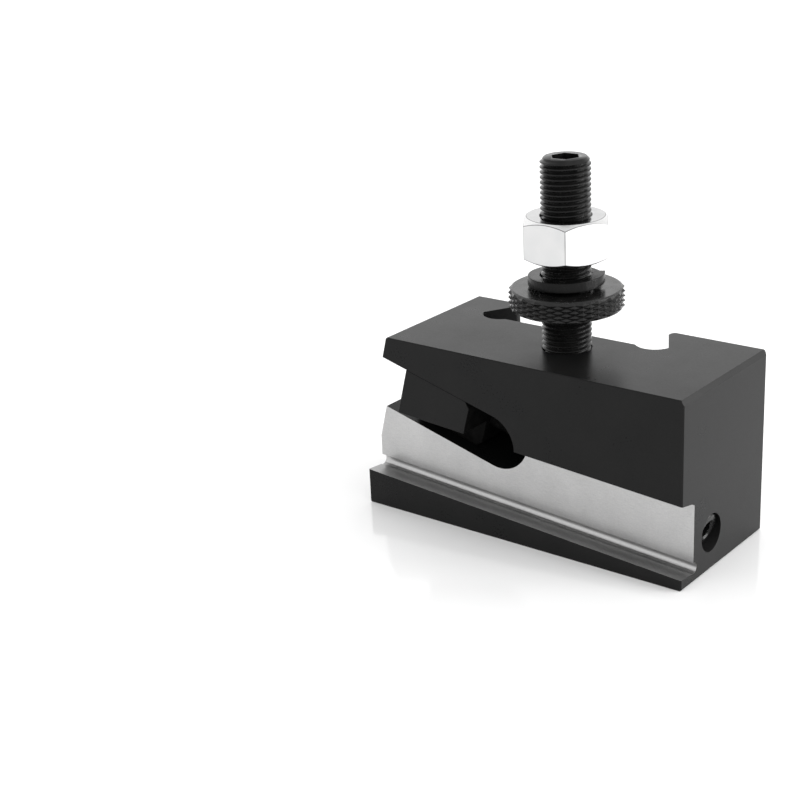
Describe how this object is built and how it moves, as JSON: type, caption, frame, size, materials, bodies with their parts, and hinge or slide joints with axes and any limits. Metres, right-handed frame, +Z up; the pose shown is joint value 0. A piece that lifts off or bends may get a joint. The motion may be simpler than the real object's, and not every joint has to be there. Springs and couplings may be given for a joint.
{
  "type": "parting blade tool holder",
  "caption": "Dovetail tool holder for a quick change tool post, with a sloping blade slot, sliding wedge clamp, draw screw and knurled height nut.",
  "frame": {"origin": "middle of the block's underside, where it rests on a bench", "axes": "+Z up along the height stud, +X along the block from the nose to the draw screw end, +Y from the blade slot to the dovetail socket"},
  "size_m": [0.075, 0.0324, 0.0764],
  "materials": {
    "black_oxide_block": "satin black oxide with a ground steel blade slot",
    "black_oxide_thread": "oiled glossy black oxide",
    "bright_zinc": "bright zinc plate",
    "black_oxide_clamp": "satin black oxide"
  },
  "bodies": {
    "holder": {"holder_block": "black_oxide_block", "height_stud": "black_oxide_thread"},
    "height_nut": {"knurled_height_nut": "black_oxide_thread"},
    "washer": {"spring_lock_washer": "black_oxide_thread"},
    "lock_nut": {"hex_lock_nut": "bright_zinc"},
    "draw_screw": {"clamp_draw_screw": "black_oxide_thread"},
    "clamp": {"blade_clamp": "black_oxide_clamp"}
  },
  "joints": [
    {"name": "height_nut_travel", "type": "slide", "parent": "holder", "child": "height_nut", "axis": [0, 0, 1], "range_m": [-0.0082, 0.001]},
    {"name": "washer_lift", "type": "slide", "parent": "height_nut", "child": "washer", "axis": [0, 0, 1], "range_m": [0, 0.0008]},
    {"name": "lock_nut_travel", "type": "slide", "parent": "holder", "child": "lock_nut", "axis": [0, 0, 1], "range_m": [-0.001, 0.0104]},
    {"name": "draw_screw_turn", "type": "hinge", "parent": "holder", "child": "draw_screw", "pos_m": [0.0355, -0.0047, 0.0082], "axis": [-0.9659, 0, 0.2588], "range_deg": [-2575, 3810]},
    {"name": "clamp_slide", "type": "slide", "parent": "holder", "child": "clamp", "axis": [0.9659, 0, -0.2588], "range_m": [-0.005, 0.0074]}
  ],
  "couplings": [
    {"joint": "draw_screw_turn", "follows": "clamp_slide", "rad_per_m": 8976}
  ]
}
